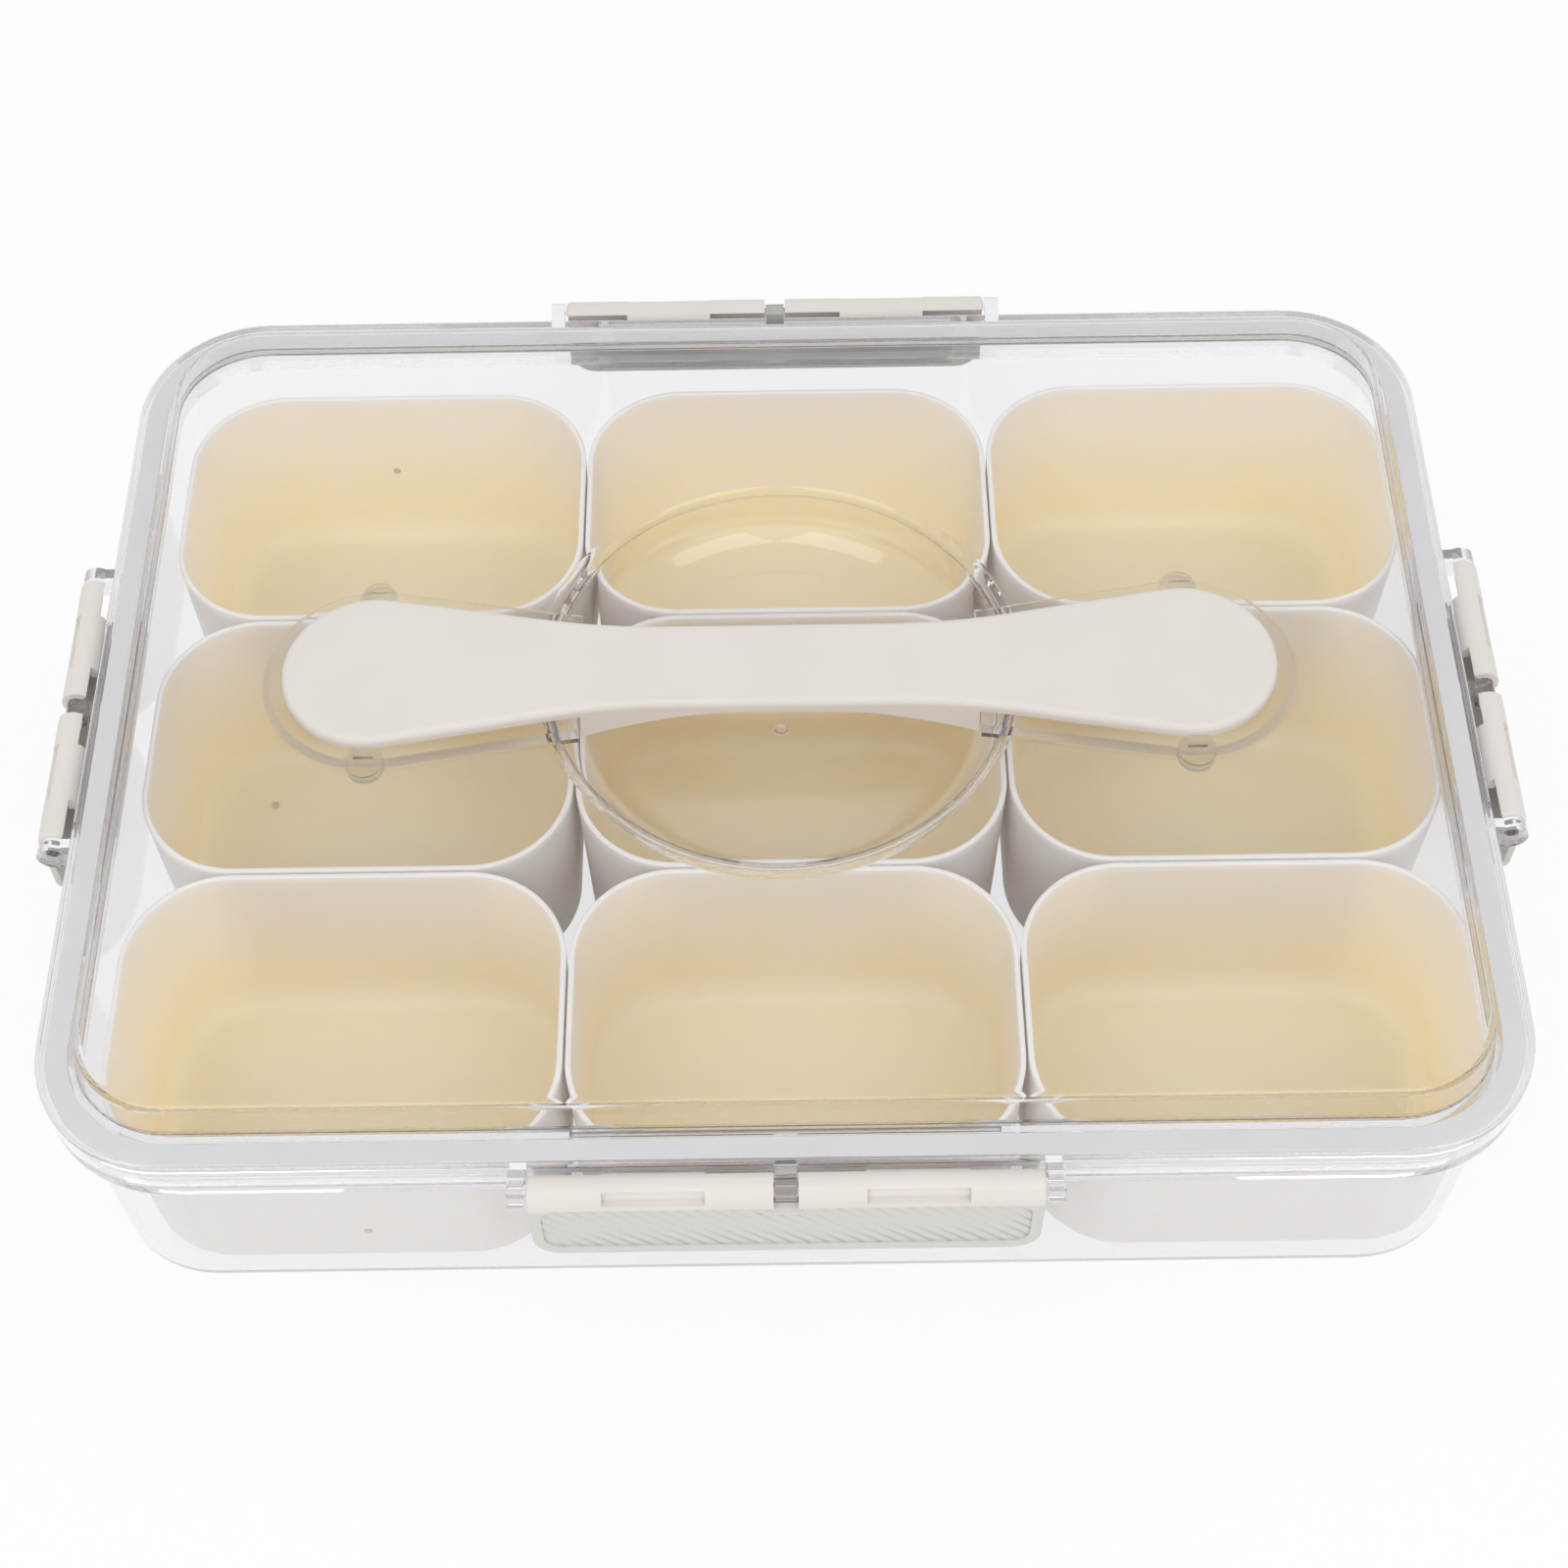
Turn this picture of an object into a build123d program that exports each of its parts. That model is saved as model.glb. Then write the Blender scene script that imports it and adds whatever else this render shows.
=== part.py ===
from build123d import *
from math import acos, atan2, cos, degrees, hypot, radians, sin, tan
import os

# Divided snack tray: a clear tray and lift-off lid, nine loose bins and four snap latches.
# The origin is the middle of the footprint on the table. X runs along the long side, Y to
# the back and Z up, in millimetres. A value ending in _out is measured outward from the
# lid's flange outline, so a negative one lies inside that outline.

# Flange outline that every wall follows
box_length = 320.0
box_depth = 240.0
corner_radius = 29.4

# Tray
tray_floor = 2.2
tray_wall = 2.0
tray_draft = 1.1
tray_wall_height = 56.5
tray_wall_out = -3.0
tray_bottom_round = 4.2
tray_flange = 3.2
tray_rim = 2.4
tray_rim_out = -0.8
flange_out = 1.5
small_round = 0.5
tolerance = 0.01

# Lid
lid_plate = 2.0
lid_edge_round = 1.2
lid_gap = 0.3
skirt_wall = 1.8
plug_wall = 1.8
plug_gap = 0.6
plug_reach = 1.0
cap_out = -7.0
cap_rise = 7.9
cap_draft = 12.8
cap_wall = 1.5
cap_round = 2.0

# Seal between the tray's rim and the lid's plate
seal_height = 3.0
seal_gap = 0.1
seal_side_gap = 0.2

# Finger well in the lid
well_radius = 53.3
well_mouth_round = 3.5
well_back = 2.6
well_floor_round = 12.0
well_depth = 16.0

# Handle and the two plinths it is fixed on
plinth_rise = 1.5
plinth_margin = 4.8
plinth_slope = 45
plinth_round = 0.5
plinth_inner_end = 46.0
boss_place = 94.5
boss_radius = 4.2
boss_rise = 0.5
boss_drop = 1.4
boss_reach = 2.3
neck_width = 4.5
neck_rise = 1.0
grip_plate = 3.0
grip_end_place = 94.2
grip_end_radius = 20.8
grip_waist_place = 40.0
grip_waist_half = 11.6
grip_waist_round = 160.0
grip_round = 1.8
grip_foot_drop = 7.6
grip_middle = 3.8
grip_flat_half = 18.0
grip_arch_round = 60.0
grip_wall = 2.0
grip_fit = 0.2
grip_ribs = 3
grip_rib = 1.6

# Snap latches and the rods they turn on
axis_out = 5.7
axis_drop = 3.6
rod_radius = 1.6
rod_clearance = 0.06
barrel_radius = 3.8
barrel_wall = 1.8
barrel_end_angle = 130
flap_drop = 22.6
flap_corner = 6.5
flap_round = 0.8
latch_length_long = 108.6
latch_length_short = 74.0
clip_length_long = 21.6
clip_length_short = 15.6
clip_place_share = 0.255
clip_radius = 2.4
clip_angle = 200
window_low_angle = 5
window_high_angle = 60
clip_mouth = 2.7
clip_mouth_angle = -112
lug_slot = 5.2
lug_slot_drop = 2.2
lug_side_gap = 0.3
lug_radius = 2.5
ear = 3.5
ear_radius = 3.5
ear_gap = 0.4
ear_foot_drop = 3.2
ear_foot_rise = 2.8
lug_foot_rise = 1.6
panel_border = 2.6
panel_bottom_border = 3.6
panel_top_drop = 1.6
panel_depth = 0.4
panel_corner = 4.2

# Catch ribs under the tray's flange and the hooks that hold them
catch_slope = 16.0
catch_height = 3.1
hook_gap = 0.2
hook_wall = 1.6
hook_floor_gap = 0.3
hook_end_margin = 8.0

# Bins, in a block that lies against the right and front walls
columns = 3
rows = 3
bin_lift_gap = 0.3
bin_height = 53.0
bin_side_gap = 0.5
block_play_x = 5.8
block_play_y = 10.1
block_right_gap = 0.5
block_front_gap = 1.05
bin_wall = 1.3
bin_floor = 1.5
bin_draft = 1.5
bin_corner_slack = 0.8
bin_floor_round = 7.0
bin_rim_round = 0.5

# Levels
flange_top = tray_wall_height + tray_flange
rim_top = flange_top + tray_rim
seal_bottom = rim_top + seal_gap
plate_under = seal_bottom + seal_height
plate_top = plate_under + lid_plate
skirt_bottom = flange_top + lid_gap
panel_top = plate_top + cap_rise
panel_under = panel_top - cap_wall
well_floor = panel_top - well_depth
plinth_top = panel_top + plinth_rise
grip_top = plinth_top + grip_plate
axis_level = plate_top - axis_drop
bin_bottom = tray_floor + bin_lift_gap
bin_top = bin_bottom + bin_height

# Offsets that follow from the walls
tray_inner_out = tray_wall_out - tray_wall
plug_out = tray_inner_out - plug_gap
plug_inner_out = plug_out - plug_wall
skirt_inner_out = flange_out - skirt_wall


def outline(out, mode=Mode.ADD):
    """Rounded rectangle that lies this far outside the lid's flange outline."""
    return RectangleRounded(box_length + 2 * out, box_depth + 2 * out, corner_radius + out, mode=mode)


def level_edges(solid, level):
    """Edges that lie flat at this height."""
    flat = solid.edges().filter_by(lambda edge: edge.bounding_box().size.Z < tolerance)
    return flat.filter_by_position(Axis.Z, level - tolerance, level + tolerance)


# The four hinge axes: the middle of each rod, the way that its latch faces, and its lengths
side_reach = {"x": box_length / 2 + axis_out, "y": box_depth / 2 + axis_out}
sides = {
    "front": ((0, -side_reach["y"]), (0, -1, 0), latch_length_long, clip_length_long),
    "back": ((0, side_reach["y"]), (0, 1, 0), latch_length_long, clip_length_long),
    "left": ((-side_reach["x"], 0), (-1, 0, 0), latch_length_short, clip_length_short),
    "right": ((side_reach["x"], 0), (1, 0, 0), latch_length_short, clip_length_short),
}


def section_plane(middle, outward):
    """Plane across a hinge axis: its x points outward and its y points up."""
    up = Vector(0, 0, 1)
    return Plane((middle[0], middle[1], axis_level), x_dir=outward, z_dir=Vector(outward).cross(up))


def face_plane(middle, outward):
    """Plane along a hinge axis: its x runs along the rod, its y up and its z outward."""
    along = Vector(0, 0, 1).cross(Vector(outward))
    return Plane((middle[0], middle[1], axis_level), x_dir=along, z_dir=outward)


# The catch ribs' sloped face, in the section plane of a hinge axis
catch_top = (flange_out - axis_out, tray_wall_height - axis_level)
catch_run = catch_height * tan(radians(catch_slope))
catch_bottom = (catch_top[0] - catch_run, catch_top[1] - catch_height)
catch_root = tray_wall_out - tray_wall / 2 - axis_out

# Clear tray: a drafted shell with a flange, a rim for the seal and four catch ribs
with BuildPart() as tray:
    with BuildSketch(Plane.XY.offset(tray_wall_height)):
        outline(tray_wall_out)
    extrude(amount=-tray_wall_height, taper=tray_draft)
    fillet(level_edges(tray, 0), tray_bottom_round)
    with BuildSketch(Plane.XY.offset(tray_wall_height)):
        outline(flange_out)
    extrude(amount=tray_flange)
    flange_face = tray.faces().sort_by(Axis.Z)[-1]
    fillet(flange_face.edges(), small_round)
    with BuildSketch(Plane.XY.offset(flange_top)):
        outline(tray_rim_out)
    extrude(amount=tray_rim)
    for middle, outward, length, _ in sides.values():
        with BuildSketch(section_plane(middle, outward)):
            with BuildLine():
                Polyline(
                    (catch_root, catch_top[1] + tray_flange / 2),
                    (catch_top[0], catch_top[1] + tray_flange / 2),
                    catch_top,
                    catch_bottom,
                    (catch_root, catch_bottom[1]),
                    close=True,
                )
            make_face()
        extrude(amount=length / 2 - hook_end_margin, both=True)
    with BuildSketch(Plane.XY.offset(tray_wall_height)) as cavity_plan:
        outline(tray_inner_out)
    extrude(amount=tray_floor - tray_wall_height, taper=tray_draft, mode=Mode.SUBTRACT)
    extrude(cavity_plan.sketch, amount=tray_flange + tray_rim, mode=Mode.SUBTRACT)
    fillet(level_edges(tray, tray_floor), tray_bottom_round - tray_wall)
tray.part.label = "tray"

# Silicone seal: a flat ring that lies in the lid's groove, just above the tray's rim
with BuildPart() as lid_seal:
    with BuildSketch(Plane.XY.offset(seal_bottom)):
        outline(skirt_inner_out - seal_side_gap)
        outline(plug_out + seal_side_gap, mode=Mode.SUBTRACT)
    extrude(amount=seal_height)
    fillet(level_edges(lid_seal, seal_bottom), small_round)
lid_seal.part.label = "lid_seal"


def grip_outline():
    """Long handle with round ends and flanks that run in to a slimmer waist."""
    run = grip_waist_place - grip_end_place
    shoulder_angle = atan2(grip_waist_half, run) - acos(grip_end_radius / hypot(run, grip_waist_half))
    shoulder_x = grip_end_place + grip_end_radius * cos(shoulder_angle)
    shoulder_y = grip_end_radius * sin(shoulder_angle)
    sweep = degrees(shoulder_angle)
    with BuildSketch() as plan:
        with BuildLine():
            for half in (1, -1):
                FilletPolyline(
                    (shoulder_x, half * shoulder_y),
                    (grip_waist_place, half * grip_waist_half),
                    (-grip_waist_place, half * grip_waist_half),
                    (-shoulder_x, half * shoulder_y),
                    radius=grip_waist_round,
                )
            CenterArc((grip_end_place, 0), grip_end_radius, -sweep, 2 * sweep)
            CenterArc((-grip_end_place, 0), grip_end_radius, 180 - sweep, 2 * sweep)
        make_face()
    return plan.sketch


grip_plan = grip_outline()
plan_width = 4 * grip_end_radius

# Handle: a shallow moulding that bridges the well, with an arched, ribbed underside
with BuildPart() as handle_grip:
    grip_end = plinth_inner_end - grip_fit
    foot_level = grip_top - grip_plate - grip_foot_drop
    with BuildSketch(Plane.XY.offset(foot_level)):
        add(grip_plan)
    extrude(amount=grip_top - foot_level)
    fillet(level_edges(handle_grip, grip_top), grip_round)
    with BuildSketch(Plane.XY.offset(plinth_top)) as beyond_feet:
        Rectangle(4 * grip_end_place, plan_width)
        Rectangle(2 * grip_end, plan_width, mode=Mode.SUBTRACT)
    extrude(amount=foot_level - plinth_top, mode=Mode.SUBTRACT)
    with BuildSketch(Plane.XZ) as arch:
        with BuildLine():
            under = grip_top - grip_middle
            rising = FilletPolyline(
                (-grip_end, foot_level),
                (-grip_flat_half, under),
                (grip_flat_half, under),
                (grip_end, foot_level),
                radius=grip_arch_round,
            )
            Polyline(rising @ 1, (grip_end, 0), (-grip_end, 0), rising @ 0)
        make_face()
    extrude(amount=plan_width / 2, both=True, mode=Mode.SUBTRACT)
    with BuildSketch(Plane.XY.offset(grip_top - grip_wall)) as pockets:
        add(grip_plan)
        offset(amount=-grip_wall, mode=Mode.REPLACE)
        Rectangle(2 * (grip_end - grip_wall), plan_width, mode=Mode.INTERSECT)
        with GridLocations(2 * grip_end / (grip_ribs + 1), 0, grip_ribs, 1):
            Rectangle(grip_rib, plan_width, mode=Mode.SUBTRACT)
    extrude(amount=foot_level - grip_top, mode=Mode.SUBTRACT)
handle_grip.part.label = "handle_grip"

# Clear lid: flange plate with skirt and plug, raised cap, finger well, plinths and hinges
with BuildPart() as lid:
    with BuildSketch(Plane.XY.offset(plate_under)):
        outline(flange_out)
    extrude(amount=lid_plate)
    fillet(level_edges(lid, plate_top), lid_edge_round)
    with BuildSketch(Plane.XY.offset(plate_top)):
        outline(cap_out)
    extrude(amount=cap_rise, taper=cap_draft)
    fillet(level_edges(lid, panel_top), cap_round)
    with BuildSketch(Plane.XY.offset(plate_top)) as cap_inside:
        outline(cap_out - cap_wall)
    extrude(amount=cap_rise - cap_wall, taper=cap_draft, mode=Mode.SUBTRACT)
    extrude(cap_inside.sketch, amount=-lid_plate, mode=Mode.SUBTRACT)
    with BuildSketch(Plane.XY.offset(plate_under)):
        outline(flange_out)
        outline(skirt_inner_out, mode=Mode.SUBTRACT)
    extrude(amount=skirt_bottom - plate_under)
    with BuildSketch(Plane.XY.offset(plate_under)):
        outline(plug_out)
        outline(plug_inner_out, mode=Mode.SUBTRACT)
    extrude(amount=rim_top - plug_reach - tray_rim - plate_under)
    # Well, a little behind the middle: the bowl is filled in under the panel, then hollowed from above
    bowl_radius = well_radius + cap_wall
    bowl_section = Plane.XZ.offset(-well_back)
    bowl_axis = Axis((0, well_back, 0), (0, 0, 1))
    with BuildSketch(bowl_section):
        with BuildLine():
            wall_foot = well_floor - cap_wall
            bowl_side = FilletPolyline(
                (0, wall_foot),
                (bowl_radius, wall_foot),
                (bowl_radius, panel_under + cap_wall / 2),
                radius=well_floor_round + cap_wall,
            )
            Polyline(bowl_side @ 1, (0, panel_under + cap_wall / 2), bowl_side @ 0)
        make_face()
    revolve(axis=bowl_axis)
    bowl_root = level_edges(lid, panel_under).filter_by(GeomType.CIRCLE).sort_by(SortBy.LENGTH)[-1]
    fillet(bowl_root, well_mouth_round - cap_wall)
    with BuildSketch(bowl_section):
        with BuildLine():
            bowl_face = FilletPolyline(
                (0, well_floor),
                (well_radius, well_floor),
                (well_radius, panel_top + cap_wall),
                radius=well_floor_round,
            )
            Polyline(bowl_face @ 1, (0, panel_top + cap_wall), bowl_face @ 0)
        make_face()
    revolve(axis=bowl_axis, mode=Mode.SUBTRACT)
    mouth = level_edges(lid, panel_top).filter_by(GeomType.CIRCLE).sort_by(SortBy.LENGTH)[-1]
    fillet(mouth, well_mouth_round)
    # Plinths with sloped flanks that carry the handle's ends, with their snap bosses
    with BuildSketch(Plane.XY.offset(panel_under)) as plinth_plan:
        add(grip_plan)
        offset(amount=plinth_margin, mode=Mode.REPLACE)
        Rectangle(2 * plinth_inner_end, plan_width, mode=Mode.SUBTRACT)
    extrude(amount=cap_wall)
    with BuildSketch(Plane.XY.offset(panel_top)):
        add(grip_plan)
        offset(amount=plinth_margin, mode=Mode.REPLACE)
    extrude(amount=plinth_rise, taper=plinth_slope)
    with BuildSketch(Plane.XY.offset(panel_top)):
        Rectangle(2 * plinth_inner_end, plan_width)
    extrude(amount=plinth_rise, mode=Mode.SUBTRACT)
    plinth_edges = level_edges(lid, plinth_top).filter_by(Axis.Y, reverse=True)
    fillet(plinth_edges, plinth_round)
    boss_middle = grip_end_radius + plinth_margin + boss_reach - boss_radius
    with BuildSketch(Plane.XY.offset(panel_under - boss_drop)):
        with GridLocations(2 * boss_place, 2 * boss_middle, 2, 2):
            Circle(boss_radius)
    extrude(amount=boss_drop + cap_wall + boss_rise)
    neck_start = grip_end_radius + grip_fit
    neck_reach = boss_middle - neck_start
    with BuildSketch(Plane.XY.offset(panel_under)):
        with GridLocations(2 * boss_place, 2 * neck_start + neck_reach, 2, 2):
            Rectangle(neck_width, neck_reach)
    extrude(amount=cap_wall + plinth_rise + neck_rise)
    # Hinges: an ear at each end, a lug in the middle and the rod that joins them
    for middle, outward, length, _ in sides.values():
        across = section_plane(middle, outward)
        ear_middle = length / 2 + ear_gap + ear / 2
        hinge_blocks = [(place, ear, ear_radius, ear_foot_rise) for place in (-ear_middle, ear_middle)]
        hinge_blocks.append((0, lug_slot - 2 * lug_side_gap, lug_radius, lug_foot_rise))
        for place, width, radius, foot_rise in hinge_blocks:
            with BuildSketch(across.offset(place)):
                Circle(radius)
                with Locations((0, foot_rise)):
                    root = axis_out - flange_out + skirt_wall / 2
                    web = min(radius, ear_foot_drop) + foot_rise
                    Rectangle(root, web, align=(Align.MAX, Align.MAX))
            extrude(amount=width / 2, both=True)
        with BuildSketch(across):
            Circle(rod_radius)
        extrude(amount=ear_middle, both=True)
lid.part.label = "lid"


def snap_latch(middle, outward, length, clip_length):
    """Latch flap with its half barrel, two rod clips, grip panel and hook."""
    across = section_plane(middle, outward)
    along = face_plane(middle, outward)
    inner_radius = barrel_radius - barrel_wall
    clip_place = length * clip_place_share
    with BuildPart() as latch:
        with BuildSketch(across):
            with BuildLine():
                outer = CenterArc((0, 0), barrel_radius, 0, barrel_end_angle)
                inner = CenterArc((0, 0), inner_radius, 0, barrel_end_angle)
                Line(outer @ 1, inner @ 1)
                Polyline(inner @ 0, (inner_radius, -flap_drop), (barrel_radius, -flap_drop), outer @ 0)
            make_face()
        extrude(amount=length / 2, both=True)
        flap_edges = latch.edges().filter_by(Axis((0, 0, 0), outward)).group_by(Axis.Z)[0]
        fillet(flap_edges, flap_corner)
        outer_face = latch.faces().filter_by(Axis((0, 0, 0), outward)).sort_by(Axis((0, 0, 0), outward))[-1]
        rim_edges = outer_face.edges().filter_by_position(
            Axis.Z, axis_level - flap_drop, axis_level - small_round, (True, True)
        )
        fillet(rim_edges, flap_round)
        # Grip panel, sunk in a raised border
        panel_height = flap_drop - panel_top_drop - panel_bottom_border
        panel_middle = -panel_top_drop - panel_height / 2
        with BuildSketch(along.offset(barrel_radius)):
            with Locations((0, panel_middle)):
                RectangleRounded(length - 2 * panel_border, panel_height, panel_corner)
        extrude(amount=-panel_depth, mode=Mode.SUBTRACT)
        # Windows in the barrel, with a rod clip behind each
        for place in (-clip_place, clip_place):
            with BuildSketch(across.offset(place)) as window:
                with BuildLine():
                    low, high = window_low_angle, window_high_angle - window_low_angle
                    far = CenterArc((0, 0), 2 * barrel_radius, low, high)
                    near = CenterArc((0, 0), clip_radius, low, high)
                    Line(near @ 0, far @ 0)
                    Line(near @ 1, far @ 1)
                make_face()
            extrude(amount=clip_length / 2, both=True, mode=Mode.SUBTRACT)
            with BuildSketch(across.offset(place)) as clip:
                Circle(clip_radius)
                with BuildLine():
                    reach = clip_angle - window_high_angle
                    tongue = CenterArc((0, 0), barrel_radius, window_high_angle, reach)
                    Polyline(tongue @ 1, (0, 0), tongue @ 0)
                make_face()
                with Locations(Location((0, 0), clip_mouth_angle)):
                    Rectangle(2 * barrel_radius, clip_mouth, align=(Align.MIN, Align.CENTER), mode=Mode.SUBTRACT)
                Circle(rod_radius + rod_clearance, mode=Mode.SUBTRACT)
            extrude(amount=clip_length / 2, both=True)
        # Slot that the lid's middle lug stands in
        with BuildSketch(along):
            with Locations((0, -lug_slot_drop)):
                Rectangle(lug_slot, 2 * barrel_radius, align=(Align.CENTER, Align.MIN))
        extrude(amount=2 * barrel_radius, both=True, mode=Mode.SUBTRACT)
        # Hook: an arm under the catch rib, with a lip that stands outside its slope
        lean = hook_gap / cos(radians(catch_slope))
        lip_top = (catch_top[0] + lean, catch_top[1])
        lip_foot = (catch_bottom[0] + lean, catch_bottom[1] - hook_floor_gap)
        with BuildSketch(across):
            with BuildLine():
                Polyline(
                    lip_top,
                    (lip_top[0] + hook_wall, lip_top[1]),
                    (lip_top[0] + hook_wall, lip_foot[1]),
                    (inner_radius + barrel_wall / 2, lip_foot[1]),
                    (inner_radius + barrel_wall / 2, lip_foot[1] - 2 * hook_wall),
                    (inner_radius, lip_foot[1] - 2 * hook_wall),
                    (lip_foot[0] + hook_wall, lip_foot[1] - hook_wall),
                    (lip_foot[0], lip_foot[1] - hook_wall / 2),
                    lip_foot,
                    close=True,
                )
            make_face()
        extrude(amount=length / 2 - hook_end_margin, both=True)
    return latch.part


latches = {}
for side, (middle, outward, length, clip_length) in sides.items():
    latches[side] = snap_latch(middle, outward, length, clip_length)
    latches[side].label = f"latch_{side}"

# Bins: nine alike, sized from the tray's inside at the height of their rims
rim_out = tray_inner_out - (tray_wall_height - bin_top) * tan(radians(tray_draft))
block_length = box_length + 2 * rim_out - block_play_x
block_depth = box_depth + 2 * rim_out - block_play_y
bin_length = (block_length - (columns - 1) * bin_side_gap) / columns
bin_depth = (block_depth - (rows - 1) * bin_side_gap) / rows
bin_corner = corner_radius + rim_out - bin_corner_slack
block_x = block_play_x / 2 - block_right_gap
block_y = block_front_gap - block_play_y / 2


def drafted_block(plane, shrink, height, floor_round):
    """Block that narrows downwards from its top plane, with a round bottom edge."""
    with BuildPart() as block:
        with BuildSketch(plane):
            RectangleRounded(bin_length - 2 * shrink, bin_depth - 2 * shrink, bin_corner - shrink)
        extrude(amount=-height, taper=bin_draft)
        fillet(block.faces().sort_by(Axis.Z)[0].edges(), floor_round)
    return block.part


def snack_bin(x, y):
    """Open bin with drafted walls, a round floor edge and a soft rim."""
    rim_plane = Plane((x, y, bin_top))
    body = drafted_block(rim_plane, 0, bin_height, bin_floor_round + bin_wall)
    hollow = drafted_block(rim_plane, bin_wall, bin_height - bin_floor, bin_floor_round)
    with BuildPart() as cup:
        add(body)
        add(hollow, mode=Mode.SUBTRACT)
        fillet(level_edges(cup, bin_top), bin_rim_round)
    return cup.part


bins = {}
for row, row_name in enumerate(("front", "middle", "back")):
    for column, column_name in enumerate(("left", "centre", "right")):
        bin_x = block_x + (column - (columns - 1) / 2) * (bin_length + bin_side_gap)
        bin_y = block_y + (row - (rows - 1) / 2) * (bin_depth + bin_side_gap)
        name = f"bin_{row_name}_{column_name}"
        bins[name] = snack_bin(bin_x, bin_y)
        bins[name].label = name

pieces = [tray.part, lid.part, lid_seal.part, handle_grip.part]
pieces += list(latches.values()) + list(bins.values())

os.makedirs("parts", exist_ok=True)
for piece in pieces:
    export_step(piece, f"parts/{piece.label}.step")
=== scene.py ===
"""Looks of a divided snack tray: clear tray and lid, seal, handle, latches and nine bins."""
import math

import bmesh
import bpy
from mathutils import Matrix, Vector


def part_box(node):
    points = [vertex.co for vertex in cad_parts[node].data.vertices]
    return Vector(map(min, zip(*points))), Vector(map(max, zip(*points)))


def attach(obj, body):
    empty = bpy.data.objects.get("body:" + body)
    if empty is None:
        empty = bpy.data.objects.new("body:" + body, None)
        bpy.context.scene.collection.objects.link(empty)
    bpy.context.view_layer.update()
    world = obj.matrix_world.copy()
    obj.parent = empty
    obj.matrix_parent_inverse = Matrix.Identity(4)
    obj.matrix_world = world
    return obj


bl_info = {
    "name": "Divided snack tray",
    "version": (1, 0, 0),
    "blender": (4, 5, 0),
    "location": "3D View > Sidebar > Snack Tray",
    "description": "Finishes and fine details of a clear snack tray with lid, latches and bins",
    "category": "Object",
}

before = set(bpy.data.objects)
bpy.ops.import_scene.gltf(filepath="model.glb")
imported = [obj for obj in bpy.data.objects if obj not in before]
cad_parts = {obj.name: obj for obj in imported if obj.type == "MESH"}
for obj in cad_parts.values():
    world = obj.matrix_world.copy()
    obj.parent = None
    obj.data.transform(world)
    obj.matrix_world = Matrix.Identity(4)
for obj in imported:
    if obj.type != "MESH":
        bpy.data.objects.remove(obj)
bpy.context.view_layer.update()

MM = 0.001
SENSOR_WIDTH = 36.0  # of the camera, in millimetres
NOISE_RANGE = (0.3, 0.7)  # nearly all values of a noise lie between these
GRAIN_HEIGHT = 0.02 * MM  # of the fine grain on the satin plastics and the bins
UNDER_BORDER = 0.5 * MM  # how far ribs and bead run on under the grip panel's border
ARC_STEPS = 6  # of a ridge's round back, and of each corner of the bead
LATCH_SIDES = {
    "front": Vector((0, -1, 0)),
    "back": Vector((0, 1, 0)),
    "left": Vector((-1, 0, 0)),
    "right": Vector((1, 0, 0)),
}
BIN_NAMES = [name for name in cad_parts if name.startswith("bin_")]

# Small round moulding marks: the node, a start in millimetres from the middle of its box,
# and the way from there to the marked face
GATE_MARKS = (
    ("bin_front_left", (5.2, -60.0, -7.4), (0, 1, 0)),
    ("bin_middle_left", (-30.7, 16.6, 0.0), (0, 0, -1)),
    ("bin_back_left", (-2.8, 0.0, -1.0), (0, 1, 0)),
    ("lid", (0.2, -4.5, 4.0), (0, 0, -1)),
)
WELL_MARK_SCALE = 1.6
# Rings of a moulding mark, from its foot to its middle: share of the radius, share of the height
MARK_RINGS = ((1.0, -0.5), (1.0, 0.1), (0.88, 0.8), (0.68, 1.0), (0.5, 0.7), (0.4, 0.35))


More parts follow.
